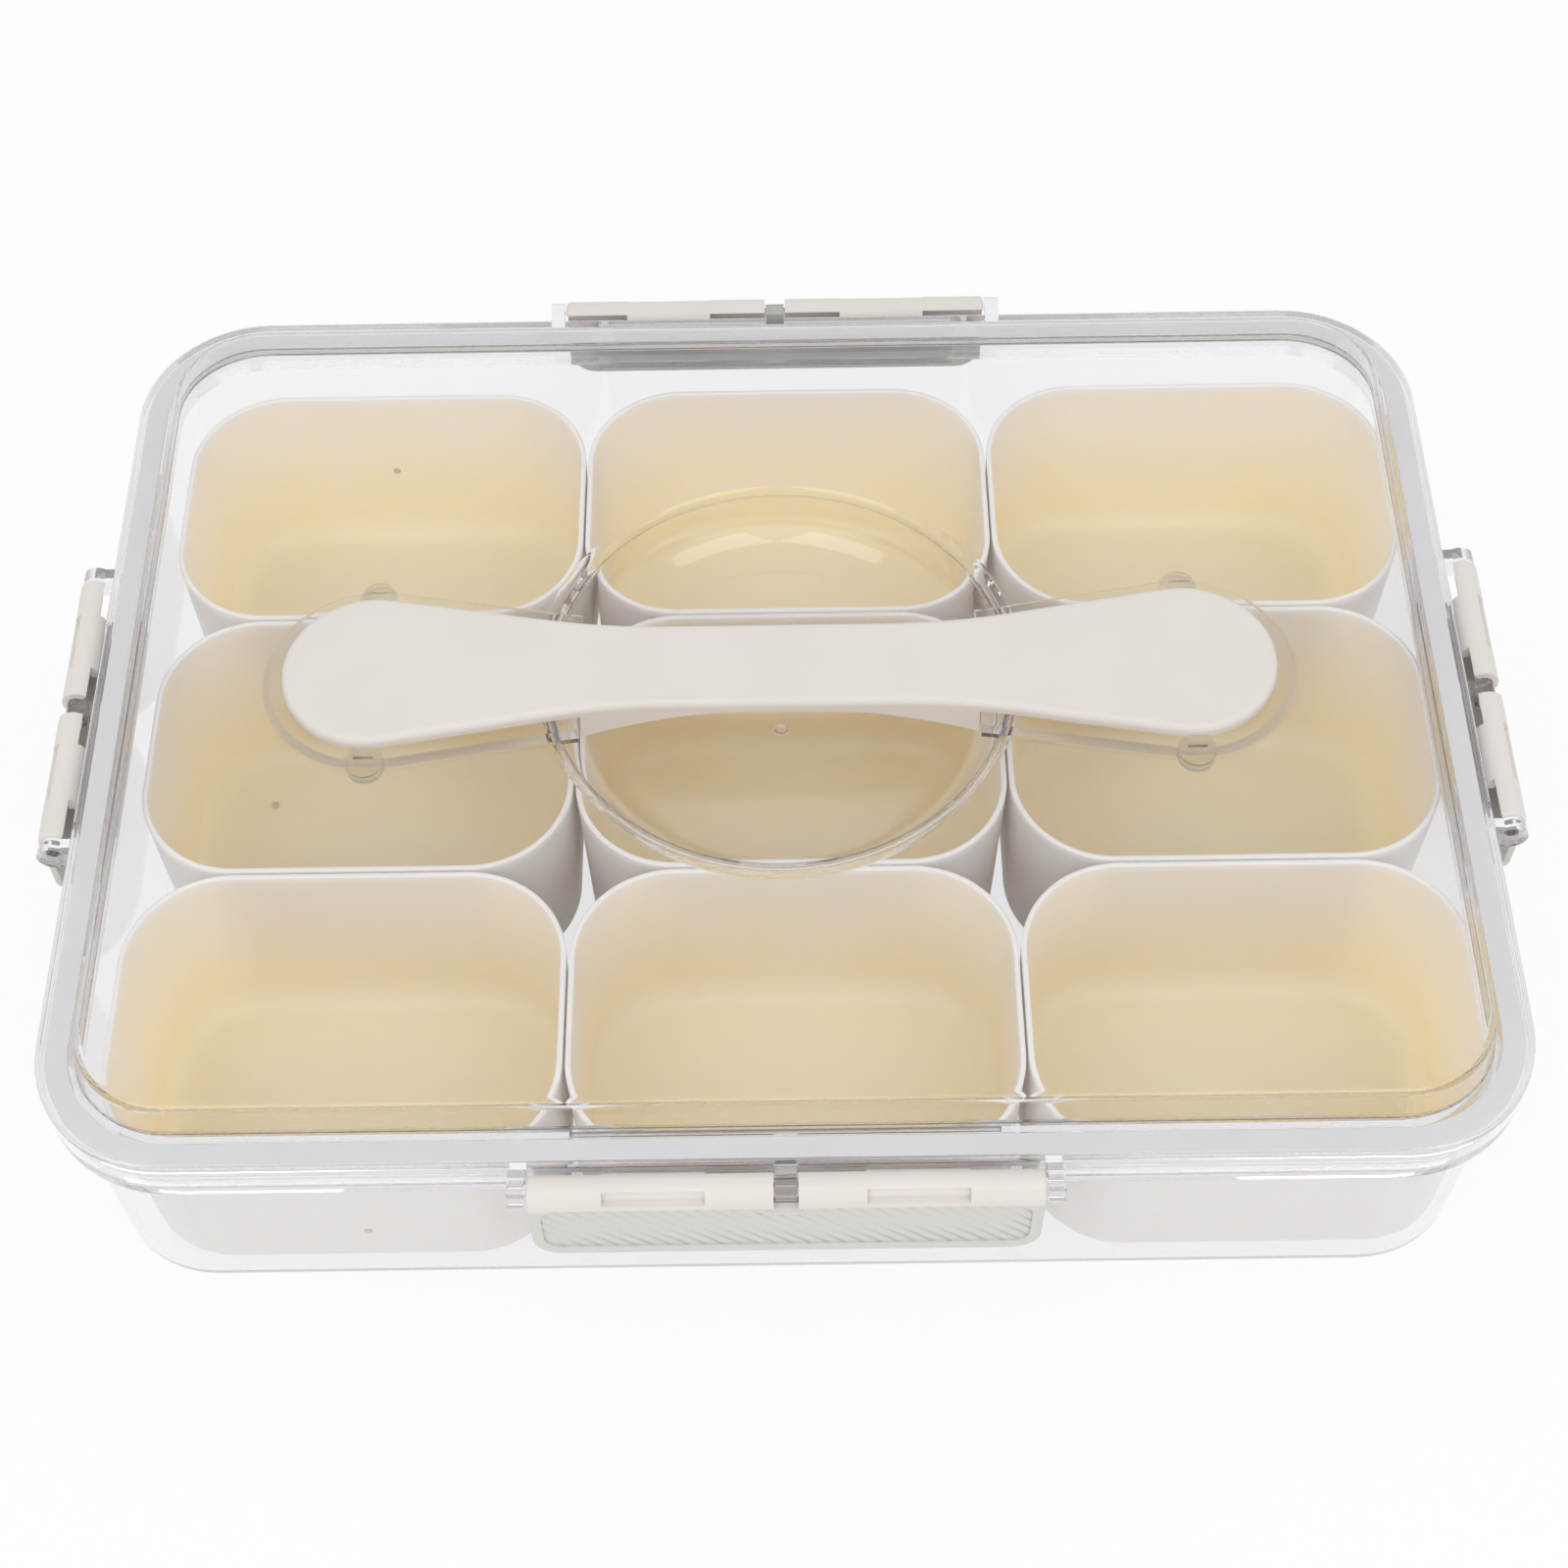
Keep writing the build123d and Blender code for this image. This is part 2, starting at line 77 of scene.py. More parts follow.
class SnackTrayFinish(bpy.types.PropertyGroup):
    """Colours and surface values of the tray's plastics."""

    clear_tint: bpy.props.FloatVectorProperty(
        name="Clear tint", description="Colour that a clear face lets through",
        default=(0.997, 0.997, 0.998), size=3, subtype="COLOR", min=0, max=1)
    clear_shadow: bpy.props.FloatVectorProperty(
        name="Clear shadow", description="Share of lamp light that a clear face lets through",
        default=(0.99, 0.99, 0.991), size=3, subtype="COLOR", min=0, max=1)
    clear_ior: bpy.props.FloatProperty(
        name="Clear IOR", description="Refractive index of the clear plastic",
        default=1.46, min=1, max=2)
    clear_roughness: bpy.props.FloatProperty(
        name="Clear roughness", description="Haze of the clear plastic",
        default=0.01, min=0, max=1, subtype="FACTOR")
    clear_depth_colour: bpy.props.FloatVectorProperty(
        name="Clear depth colour", description="Colour of light that went far through the clear plastic",
        default=(0.45, 0.45, 0.53), size=3, subtype="COLOR", min=0, max=1)
    clear_density: bpy.props.FloatProperty(
        name="Clear density", description="How fast the clear plastic takes up light, per metre",
        default=32.0, min=0)
    seal_colour: bpy.props.FloatVectorProperty(
        name="Seal", description="Frosted silicone of the seal",
        default=(0.80, 0.80, 0.805), size=3, subtype="COLOR", min=0, max=1)
    cream_colour: bpy.props.FloatVectorProperty(
        name="Cream", description="Cream plastic of the handle and latches",
        default=(0.75, 0.715, 0.675), size=3, subtype="COLOR", min=0, max=1)
    cream_shade: bpy.props.FloatVectorProperty(
        name="Cream shade", description="Darker cream of the moulding's clouding",
        default=(0.735, 0.70, 0.655), size=3, subtype="COLOR", min=0, max=1)
    # Painted shade: the latches' flaps are painted darker below their top, for the shade on their front
    # faces
    flap_painted_shade: bpy.props.FloatVectorProperty(
        name="Flap tone", description="Greyer cream of the latches' textured flaps",
        default=(0.64, 0.62, 0.585), size=3, subtype="COLOR", min=0, max=1)
    boss_roughness: bpy.props.FloatProperty(
        name="Boss roughness", description="Haze of the lid's small snap bosses",
        default=0.45, min=0, max=1, subtype="FACTOR")
    # Painted bounced light: the inside turns deeper yellow towards the floor
    bin_floor_painted_bounce: bpy.props.FloatVectorProperty(
        name="Bin floor", description="Bin plastic at the floor, inside",
        default=(0.965, 0.83, 0.59), size=3, subtype="COLOR", min=0, max=1)
    bin_high: bpy.props.FloatVectorProperty(
        name="Bin wall", description="Bin plastic high on the wall, inside",
        default=(0.96, 0.885, 0.775), size=3, subtype="COLOR", min=0, max=1)
    # Painted light: the outside is paler, as if lit from the front and the floor
    bin_outside_painted_light: bpy.props.FloatVectorProperty(
        name="Bin outside", description="Bin plastic on the outside",
        default=(0.80, 0.778, 0.755), size=3, subtype="COLOR", min=0, max=1)
    # Painted light: a pale band along the rim, where light would leak through the wall
    bin_rim_painted_light: bpy.props.FloatVectorProperty(
        name="Bin rim", description="Pale rim where light leaks through the wall",
        default=(0.95, 0.915, 0.88), size=3, subtype="COLOR", min=0, max=1)
    bin_glow: bpy.props.FloatProperty(
        name="Bin translucency", description="How much light soaks into the bins' milky walls",
        default=0.65, min=0, max=1, subtype="FACTOR")
    gate_colour: bpy.props.FloatVectorProperty(
        name="Gate mark", description="Darker plastic of the moulding marks on the bins",
        default=(0.60, 0.53, 0.41), size=3, subtype="COLOR", min=0, max=1)


class SnackTrayDetail(bpy.types.PropertyGroup):
    """Sizes of the fine details."""

    panel_border: bpy.props.FloatProperty(
        name="Panel border", description="Raised border at the ends of a latch's grip panel",
        default=2.6 * MM, unit="LENGTH", min=0)
    panel_foot: bpy.props.FloatProperty(
        name="Panel foot", description="Raised border under a latch's grip panel",
        default=3.6 * MM, unit="LENGTH", min=0)
    panel_height: bpy.props.FloatProperty(
        name="Panel height", description="Height of a latch's grip panel",
        default=17.4 * MM, unit="LENGTH", min=1 * MM)
    panel_depth: bpy.props.FloatProperty(
        name="Panel depth", description="How far the grip panel is sunk",
        default=0.4 * MM, unit="LENGTH", min=0)
    flap_rise: bpy.props.FloatProperty(
        name="Flap rise", description="Height of a latch's textured flap over its lower edge",
        default=21.8 * MM, unit="LENGTH", min=1 * MM)
    boss_place: bpy.props.FloatVectorProperty(
        name="Boss place", description="Middle of a snap boss beside the handle, along and across the lid",
        default=(94.5 * MM, 23.7 * MM), size=2, unit="LENGTH", min=0)
    boss_radius: bpy.props.FloatProperty(
        name="Boss radius", description="Radius of the frosted snap bosses",
        default=4.4 * MM, unit="LENGTH", min=1 * MM)
    rib_pitch: bpy.props.FloatProperty(
        name="Rib pitch", description="Spacing of the grip ribs across their length",
        default=2.65 * MM, unit="LENGTH", min=1 * MM)
    rib_width: bpy.props.FloatProperty(
        name="Rib width", description="Width of a grip rib",
        default=0.8 * MM, unit="LENGTH", min=0.1 * MM)
    rib_height: bpy.props.FloatProperty(
        name="Rib height", description="Height of a grip rib over the sunk panel",
        default=0.10 * MM, unit="LENGTH", min=0.01 * MM)
    rib_angle: bpy.props.FloatProperty(
        name="Rib angle", description="Lean of the grip ribs",
        default=math.radians(-45), unit="ROTATION")
    rib_bare_half: bpy.props.FloatProperty(
        name="Bare half width", description="Half width of the bare field round the slot",
        default=5.2 * MM, unit="LENGTH", min=0)
    slot_foot: bpy.props.FloatProperty(
        name="Slot foot", description="Height of the slot's lower end over the flap's lower edge",
        default=20.4 * MM, unit="LENGTH", min=1 * MM)
    bead_half: bpy.props.FloatProperty(
        name="Bead half width", description="Half the width of the bead round the slot's lower end",
        default=3.9 * MM, unit="LENGTH", min=1 * MM)
    bead_drop: bpy.props.FloatProperty(
        name="Bead drop", description="How far the bead runs under the slot",
        default=2.2 * MM, unit="LENGTH", min=0)
    bead_corner: bpy.props.FloatProperty(
        name="Bead corner", description="Radius of the bead's two corners",
        default=1.9 * MM, unit="LENGTH", min=0)
    bead_width: bpy.props.FloatProperty(
        name="Bead width", description="Width of the bead",
        default=0.9 * MM, unit="LENGTH", min=0.1 * MM)
    bead_height: bpy.props.FloatProperty(
        name="Bead height", description="Height of the bead over the sunk panel",
        default=0.36 * MM, unit="LENGTH", min=0.01 * MM)
    gate_radius: bpy.props.FloatProperty(
        name="Gate mark radius", description="Radius of a moulding mark on a bin",
        default=1.0 * MM, unit="LENGTH", min=0.1 * MM)
    gate_height: bpy.props.FloatProperty(
        name="Gate mark height", description="Height of a moulding mark",
        default=0.18 * MM, unit="LENGTH", min=0.01 * MM)


class SnackTrayStage(bpy.types.PropertyGroup):
    """Camera and light."""

    camera_place: bpy.props.FloatVectorProperty(
        name="Camera place", description="Where the camera stands",
        default=(0.0015, -0.3701, 0.5731), size=3, subtype="TRANSLATION", unit="LENGTH")
    camera_pitch: bpy.props.FloatProperty(
        name="Camera pitch", description="How far the camera looks down",
        default=math.radians(55.76), unit="ROTATION")
    camera_yaw: bpy.props.FloatProperty(
        name="Camera yaw", description="How far the camera looks to the side",
        default=math.radians(-0.39), unit="ROTATION")
    camera_roll: bpy.props.FloatProperty(
        name="Camera roll", description="How far the camera is tipped",
        default=math.radians(1.15), unit="ROTATION")
    camera_shift: bpy.props.FloatVectorProperty(
        name="Camera shift", description="Shift of the picture across and up, as a share of its width",
        default=(0.0044, 0.0002), size=2)
    lens: bpy.props.FloatProperty(
        name="Lens", description="Focal length in millimetres, on a sensor 36 mm wide",
        default=61.37, min=10)
    sky: bpy.props.FloatProperty(
        name="Sky", description="Strength of the light from all round",
        default=0.8, min=0)
    clear_bounces: bpy.props.IntProperty(
        name="Clear bounces", description="How many clear faces a light path may cross",
        default=24, min=8)
    mirror_bounces: bpy.props.IntProperty(
        name="Mirror bounces", description="How often light may be thrown back inside a clear wall",
        default=6, min=4)
    soft_bounces: bpy.props.IntProperty(
        name="Soft bounces", description="How often light may bounce about inside the pale bins",
        default=12, min=4)
    softbox_place: bpy.props.FloatVectorProperty(
        name="Softbox place", description="Where the lamp on the right stands; the other one mirrors it",
        default=(0.42, -0.62, 0.95), size=3, subtype="TRANSLATION", unit="LENGTH")
    softbox_size: bpy.props.FloatProperty(
        name="Softbox size", description="Side of each of the two lamps in front",
        default=0.65, unit="LENGTH", min=0.05)
    softbox_power: bpy.props.FloatProperty(
        name="Softbox power", description="Power of each of the two lamps in front",
        default=2.0, unit="POWER", min=0)
    floor_colour: bpy.props.FloatVectorProperty(
        name="Floor", description="Colour of the floor",
        default=(0.97, 0.97, 0.97), size=3, subtype="COLOR", min=0, max=1)
    floor_glow: bpy.props.FloatProperty(
        name="Floor glow", description="Share of the floor that shows as plain white, without shadow",
        default=0.85, min=0, max=1, subtype="FACTOR")


def add_node(tree, kind, **settings):
    """New shader node with these settings."""
    node = tree.nodes.new(kind)
    for name, value in settings.items():
        setattr(node, name, value)
    return node


def new_material(name):
    """Empty node material, with its tree and its output node."""
    material = bpy.data.materials.new(name)
    material.use_nodes = True
    tree = material.node_tree
    tree.nodes.clear()
    return material, tree, add_node(tree, "ShaderNodeOutputMaterial")


def calc(tree, operation, *values):
    """Math node on sockets or plain numbers, as its output socket."""
    node = add_node(tree, "ShaderNodeMath", operation=operation)
    for place, value in enumerate(values):
        if isinstance(value, (int, float)):
            node.inputs[place].default_value = value
        else:
            tree.links.new(value, node.inputs[place])
    return node.outputs[0]


def ramp(tree, value, low, high, to_low=0.0, to_high=1.0):
    """Smooth step of a value from low to high."""
    node = add_node(tree, "ShaderNodeMapRange", interpolation_type="SMOOTHSTEP")
    tree.links.new(value, node.inputs["Value"])
    for name, number in (("From Min", low), ("From Max", high), ("To Min", to_low), ("To Max", to_high)):
        node.inputs[name].default_value = number
    return node.outputs["Result"]


def blend(tree, share, first, second):
    """Mix of two colours, each a socket or an RGB triple."""
    node = add_node(tree, "ShaderNodeMix", data_type="RGBA")
    tree.links.new(share, node.inputs["Factor"])
    for socket, colour in ((node.inputs[6], first), (node.inputs[7], second)):
        if isinstance(colour, bpy.types.NodeSocket):
            tree.links.new(colour, socket)
        else:
            socket.default_value = (*colour, 1)
    return node.outputs[2]


def noise(tree, place, scale, detail=2.0):
    """Noise of this many waves per metre."""
    node = add_node(tree, "ShaderNodeTexNoise")
    tree.links.new(place, node.inputs["Vector"])
    node.inputs["Scale"].default_value = scale
    node.inputs["Detail"].default_value = detail
    return node.outputs["Fac"]


def bump(tree, height, distance, strength):
    """Normal of a surface with this relief."""
    node = add_node(tree, "ShaderNodeBump")
    tree.links.new(height, node.inputs["Height"])
    node.inputs["Distance"].default_value = distance
    node.inputs["Strength"].default_value = strength
    return node.outputs["Normal"]


def darker(colour, share):
    """The same colour at this share of its brightness."""
    return [share * part for part in colour]


def seen_ray(tree):
    """1 for rays that show the surroundings: from the camera, and after a mirror or glass."""
    path = add_node(tree, "ShaderNodeLightPath")
    mirrored = calc(tree, "MAXIMUM", path.outputs["Is Camera Ray"], path.outputs["Is Glossy Ray"])
    return calc(tree, "MAXIMUM", mirrored, path.outputs["Is Transmission Ray"])


def boss_mask(tree, place):
    """1 on the lid's four snap bosses and 0 elsewhere."""
    detail = bpy.context.scene.snack_tray_detail
    split = add_node(tree, "ShaderNodeSeparateXYZ")
    tree.links.new(place, split.inputs[0])
    gaps = []
    for axis, centre in enumerate(detail.boss_place):
        gaps.append(calc(tree, "SUBTRACT", calc(tree, "ABSOLUTE", split.outputs[axis]), centre))
    squares = [calc(tree, "MULTIPLY", gap, gap) for gap in gaps]
    near = calc(tree, "LESS_THAN", calc(tree, "ADD", *squares), detail.boss_radius ** 2)
    return calc(tree, "MULTIPLY", near, calc(tree, "GREATER_THAN", split.outputs[2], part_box("lid")[0].z))


def clear_plastic(finish):
    """Clear moulded plastic: lamp light passes straight through, and light caught in a wall gets out."""
    haze_waves = 60.0
    most_reflections = 3.5
    material, tree, output = new_material("moulded_clear")
    place = add_node(tree, "ShaderNodeTexCoord").outputs["Object"]
    shader = add_node(tree, "ShaderNodeBsdfPrincipled")
    shader.inputs["Base Color"].default_value = (*finish.clear_tint, 1)
    shader.inputs["Transmission Weight"].default_value = 1.0
    shader.inputs["IOR"].default_value = finish.clear_ior
    haze = ramp(tree, noise(tree, place, haze_waves), *NOISE_RANGE, to_high=finish.clear_roughness)
    frosted = calc(tree, "MULTIPLY", boss_mask(tree, place), finish.boss_roughness)
    tree.links.new(calc(tree, "MAXIMUM", haze, frosted), shader.inputs["Roughness"])
    passing = add_node(tree, "ShaderNodeBsdfTransparent")
    passing.inputs["Color"].default_value = (*finish.clear_shadow, 1)
    path = add_node(tree, "ShaderNodeLightPath")
    light_ray = calc(tree, "MAXIMUM", path.outputs["Is Shadow Ray"], path.outputs["Is Diffuse Ray"])
    trapped = calc(tree, "GREATER_THAN", path.outputs["Glossy Depth"], most_reflections)
    light_ray = calc(tree, "MAXIMUM", light_ray, trapped)
    mix = add_node(tree, "ShaderNodeMixShader")
    tree.links.new(light_ray, mix.inputs[0])
    tree.links.new(shader.outputs[0], mix.inputs[1])
    tree.links.new(passing.outputs[0], mix.inputs[2])
    tree.links.new(mix.outputs[0], output.inputs["Surface"])
    depth = add_node(tree, "ShaderNodeVolumeAbsorption")
    depth.inputs["Color"].default_value = (*finish.clear_depth_colour, 1)
    depth.inputs["Density"].default_value = finish.clear_density
    tree.links.new(depth.outputs[0], output.inputs["Volume"])
    return material


def satin_plastic(name, base, shade, roughness, low_painted_shade=None):
    """Satin moulded plastic with a fine grain and faint clouding.

    The last argument, if given, is a level and a darker colour painted below it as shade.
    """
    cloud_waves, grain_waves = 45.0, 2600.0
    cloud_range = (0.35, 0.65)
    shade_fade = 2 * MM
    swing = 0.05
    material, tree, output = new_material(name)
    place = add_node(tree, "ShaderNodeTexCoord").outputs["Object"]
    shader = add_node(tree, "ShaderNodeBsdfPrincipled")
    cloud = ramp(tree, noise(tree, place, cloud_waves, detail=3.0), *cloud_range)
    colour = blend(tree, cloud, base, shade)
    if low_painted_shade:
        split = add_node(tree, "ShaderNodeSeparateXYZ")
        tree.links.new(place, split.inputs[0])
        # Painted shade: the colour turns darker below the given level
        top, tone = low_painted_shade
        colour = blend(tree, ramp(tree, split.outputs[2], top - shade_fade, top), tone, colour)
    tree.links.new(colour, shader.inputs["Base Color"])
    grain = noise(tree, place, grain_waves, detail=1.0)
    grain_roughness = ramp(tree, grain, *NOISE_RANGE, roughness - swing, roughness + swing)
    tree.links.new(grain_roughness, shader.inputs["Roughness"])
    tree.links.new(bump(tree, grain, GRAIN_HEIGHT, strength=0.6), shader.inputs["Normal"])
    tree.links.new(shader.outputs[0], output.inputs["Surface"])
    return material


def bin_plastic(finish):
    """Milky cream plastic with painted light: deeper yellow inside towards the floor as painted bounced
    light, paler outside and along the rim as painted light.
    """
    mottle_waves, grain_waves = 60.0, 1800.0
    mottle_depth = 0.08
    turn_blend = 0.1
    rim_start, rim_end = 3.5 * MM, 0.3 * MM
    light_reach, reach_by_colour = 5 * MM, (1.0, 0.85, 0.65)
    roughness = (0.36, 0.46)
    material, tree, output = new_material("moulded_milky")
    low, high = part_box("bin_middle_centre")
    right_low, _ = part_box("bin_middle_right")
    back_low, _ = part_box("bin_back_centre")
    pitch = (right_low.x - low.x, back_low.y - low.y)
    middle = (low + high) / 2
    coordinates = add_node(tree, "ShaderNodeTexCoord")
    split = add_node(tree, "ShaderNodeSeparateXYZ")
    tree.links.new(coordinates.outputs["Object"], split.inputs[0])
    # Place from the top middle of its own bin, since the bins stand in an even grid
    from_axis = add_node(tree, "ShaderNodeCombineXYZ")
    for axis, step in enumerate(pitch):
        shifted = calc(tree, "SUBTRACT", split.outputs[axis], middle[axis])
        wrapped = calc(tree, "WRAP", shifted, step / 2, -step / 2)
        tree.links.new(wrapped, from_axis.inputs[axis])
    tree.links.new(calc(tree, "SUBTRACT", split.outputs[2], high.z), from_axis.inputs[2])
    # A face that looks away from that point is on the bin's outside, which is painted paler as light
    # falling on it
    outward = add_node(tree, "ShaderNodeVectorMath", operation="NORMALIZE")
    tree.links.new(from_axis.outputs[0], outward.inputs[0])
    facing = add_node(tree, "ShaderNodeVectorMath", operation="DOT_PRODUCT")
    tree.links.new(outward.outputs[0], facing.inputs[0])
    tree.links.new(coordinates.outputs["Normal"], facing.inputs[1])
    # Outside faces take the paler colour: painted light
    outside = ramp(tree, facing.outputs["Value"], -turn_blend, turn_blend)
    # Painted bounced light: the inside colour deepens towards the floor
    height = ramp(tree, split.outputs[2], low.z, high.z)
    mottle = noise(tree, coordinates.outputs["Object"], mottle_waves, detail=3.0)
    height = calc(tree, "ADD", height, ramp(tree, mottle, *NOISE_RANGE, -mottle_depth, mottle_depth))
    inside_painted_bounce = blend(tree, height, finish.bin_floor_painted_bounce, finish.bin_high)
    colour = blend(tree, outside, inside_painted_bounce, finish.bin_outside_painted_light)
    # Painted light: a pale band along the rim, as light leaking through the thin wall
    rim = ramp(tree, split.outputs[2], high.z - rim_start, high.z - rim_end)
    colour = blend(tree, rim, colour, finish.bin_rim_painted_light)
    shader = add_node(tree, "ShaderNodeBsdfPrincipled")
    tree.links.new(colour, shader.inputs["Base Color"])
    shader.inputs["Subsurface Weight"].default_value = finish.bin_glow
    shader.inputs["Subsurface Radius"].default_value = reach_by_colour
    shader.inputs["Subsurface Scale"].default_value = light_reach
    grain = noise(tree, coordinates.outputs["Object"], grain_waves, detail=1.0)
    tree.links.new(ramp(tree, grain, *NOISE_RANGE, *roughness), shader.inputs["Roughness"])
    tree.links.new(bump(tree, grain, GRAIN_HEIGHT, strength=0.5), shader.inputs["Normal"])
    tree.links.new(shader.outputs[0], output.inputs["Surface"])
    return material


def dress(names, material):
    """Gives CAD nodes this material."""
    for name in names:
        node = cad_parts[name]
        node.data.materials.clear()
        node.data.materials.append(material)


def ridge(work, path, outward, width, height):
    """Half-round ridge along a path on a face that looks outward, sunk a little into that face."""
    rings = []
    arc = [math.pi * step / ARC_STEPS for step in range(ARC_STEPS + 1)]
    sunk = outward * height / 2
    for place, point in enumerate(path):
        ahead = path[min(place + 1, len(path) - 1)] - path[max(place - 1, 0)]
        across = outward.cross(ahead).normalized() * width / 2
        profile = [across * math.cos(angle) + outward * height * math.sin(angle) for angle in arc]
        profile += [-across - sunk, across - sunk]
        rings.append([work.verts.new(point + offset) for offset in profile])
    for first, second in zip(rings, rings[1:]):
        for corner in range(len(first)):
            work.faces.new((first[corner], first[corner - 1], second[corner - 1], second[corner]))
    work.faces.new(rings[0])
    work.faces.new(rings[-1][::-1])


def button(work, centre, outward, radius, height, sides=24):
    """Round mark with a soft raised ring, sunk a little into the face that it lies on."""
    turn = outward.to_track_quat("Z", "Y")
    rings = []
    for share, rise in MARK_RINGS:
        rings.append([])
        for step in range(sides):
            angle = 2 * math.pi * step / sides
            across, ahead = math.cos(angle) * radius * share, math.sin(angle) * radius * share
            rings[-1].append(work.verts.new(centre + turn @ Vector((across, ahead, rise * height))))
    for first, second in zip(rings, rings[1:]):
        for corner in range(sides):
            work.faces.new((first[corner - 1], first[corner], second[corner], second[corner - 1]))
    work.faces.new(rings[0][::-1])
    work.faces.new(rings[-1])


def finish_piece(work, name, material, body):
    """Turns a bmesh into a smooth piece that rides on a body and takes the given material."""
    bmesh.ops.recalc_face_normals(work, faces=work.faces)
    mesh = bpy.data.meshes.new(name)
    work.to_mesh(mesh)
    work.free()
    mesh.materials.append(material)
    mesh.shade_smooth()
    piece = bpy.data.objects.new(name, mesh)
    bpy.context.scene.collection.objects.link(piece)
    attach(piece, body)


def cream_plastic(finish):
    """The cream plastic that the handle and the latches share, with painted shade on the latches' flaps.
    """
    known = bpy.data.materials.get("moulded_cream")
    if known:
        return known
    # The flaps are painted darker below their top, as shade
    flap_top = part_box("latch_front")[0].z + bpy.context.scene.snack_tray_detail.flap_rise
    return satin_plastic(
        "moulded_cream", finish.cream_colour, finish.cream_shade, roughness=0.42,
        low_painted_shade=(flap_top, finish.flap_painted_shade))


class SNACKTRAY_OT_clear_parts(bpy.types.Operator):
    """Clear plastic for the tray and the lid"""

    bl_idname = "snack_tray.clear_parts"
    bl_label = "Clear tray and lid"

    def execute(self, context):
        dress(["tray", "lid"], clear_plastic(context.scene.snack_tray_finish))
        return {"FINISHED"}


class SNACKTRAY_OT_seal(bpy.types.Operator):
    """Frosted silicone for the seal in the lid"""

    bl_idname = "snack_tray.seal"
    bl_label = "Seal"

    def execute(self, context):
        colour = context.scene.snack_tray_finish.seal_colour
        shade = darker(colour, share=0.97)
        dress(["lid_seal"], satin_plastic("moulded_silicone", colour, shade, roughness=0.5))
        return {"FINISHED"}


class SNACKTRAY_OT_handle(bpy.types.Operator):
    """Satin cream plastic for the handle"""

    bl_idname = "snack_tray.handle"
    bl_label = "Handle"

    def execute(self, context):
        dress(["handle_grip"], cream_plastic(context.scene.snack_tray_finish))
        return {"FINISHED"}


class SNACKTRAY_OT_latches(bpy.types.Operator):
    """Cream plastic for the four latches, with slanted grip ribs and a bead round each slot"""

    bl_idname = "snack_tray.latches"
    bl_label = "Latches"

    def execute(self, context):
        material = cream_plastic(context.scene.snack_tray_finish)
        detail = context.scene.snack_tray_detail
        for side, outward in LATCH_SIDES.items():
            name = "latch_" + side
            dress([name], material)
            low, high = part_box(name)
            along = Vector((0, 0, 1)).cross(outward)
            size = high - low
            length, depth = abs(size.dot(along)), abs(size.dot(outward))
            foot = (low + high) / 2 + outward * (depth / 2 - detail.panel_depth)
            foot.z = low.z

            def on_panel(u, v):
                return foot + along * u + Vector((0, 0, v))

            work = bmesh.new()
            for start, end in self.rib_lines(detail, length):
                line = [on_panel(*start), on_panel(*end)]
                ridge(work, line, outward, detail.rib_width, detail.rib_height)
            bead = [on_panel(*point) for point in self.bead_line(detail)]
            ridge(work, bead, outward, detail.bead_width, detail.bead_height)
            finish_piece(work, name + "_ribs", material, name)
        return {"FINISHED"}

    def rib_lines(self, detail, length):
        """Slanted lines over the grip panel, which end just under its border and leave the slot bare."""
        half = length / 2 - detail.panel_border + UNDER_BORDER
        low = detail.panel_foot - UNDER_BORDER
        high = detail.panel_foot + detail.panel_height + UNDER_BORDER
        centre = (low + high) / 2
        lean = math.tan(detail.rib_angle)
        step = detail.rib_pitch / abs(math.sin(detail.rib_angle))
        bare_half = detail.rib_bare_half
        bare_foot = detail.slot_foot - detail.bead_drop - detail.bead_width
        count = int((half + high) / step) + 1
        for number in range(-count, count + 1):
            middle = number * step

            def at_height(v):
                return middle + (v - centre) / lean, v

            def at_place(u):
                return u, centre + (u - middle) * lean

            foot, head = (at_place(max(-half, min(half, at_height(v)[0]))) for v in (low, high))
            if head[1] - foot[1] < detail.rib_width:
                continue
            reach = sorted((at_height(bare_foot)[0], head[0]))
            if foot[1] < bare_foot < head[1] and reach[0] < bare_half and reach[1] > -bare_half:
                yield foot, at_height(bare_foot)
                if abs(head[0]) > bare_half:
                    yield at_place(math.copysign(bare_half, head[0])), head
            else:
                yield foot, head

    def bead_line(self, detail):
        """U-shaped line round the slot's lower end."""
        half, corner = detail.bead_half, detail.bead_corner
        foot = detail.slot_foot - detail.bead_drop
        head = detail.panel_foot + detail.panel_height + UNDER_BORDER
        arc = [math.pi / 2 * step / ARC_STEPS for step in range(ARC_STEPS + 1)]
        right = [
            (half - corner + corner * math.cos(angle), foot + corner - corner * math.sin(angle))
            for angle in arc
        ]
        left = [(-u, v) for u, v in reversed(right)]
        return [(half, head), *right, *left, (-half, head)]


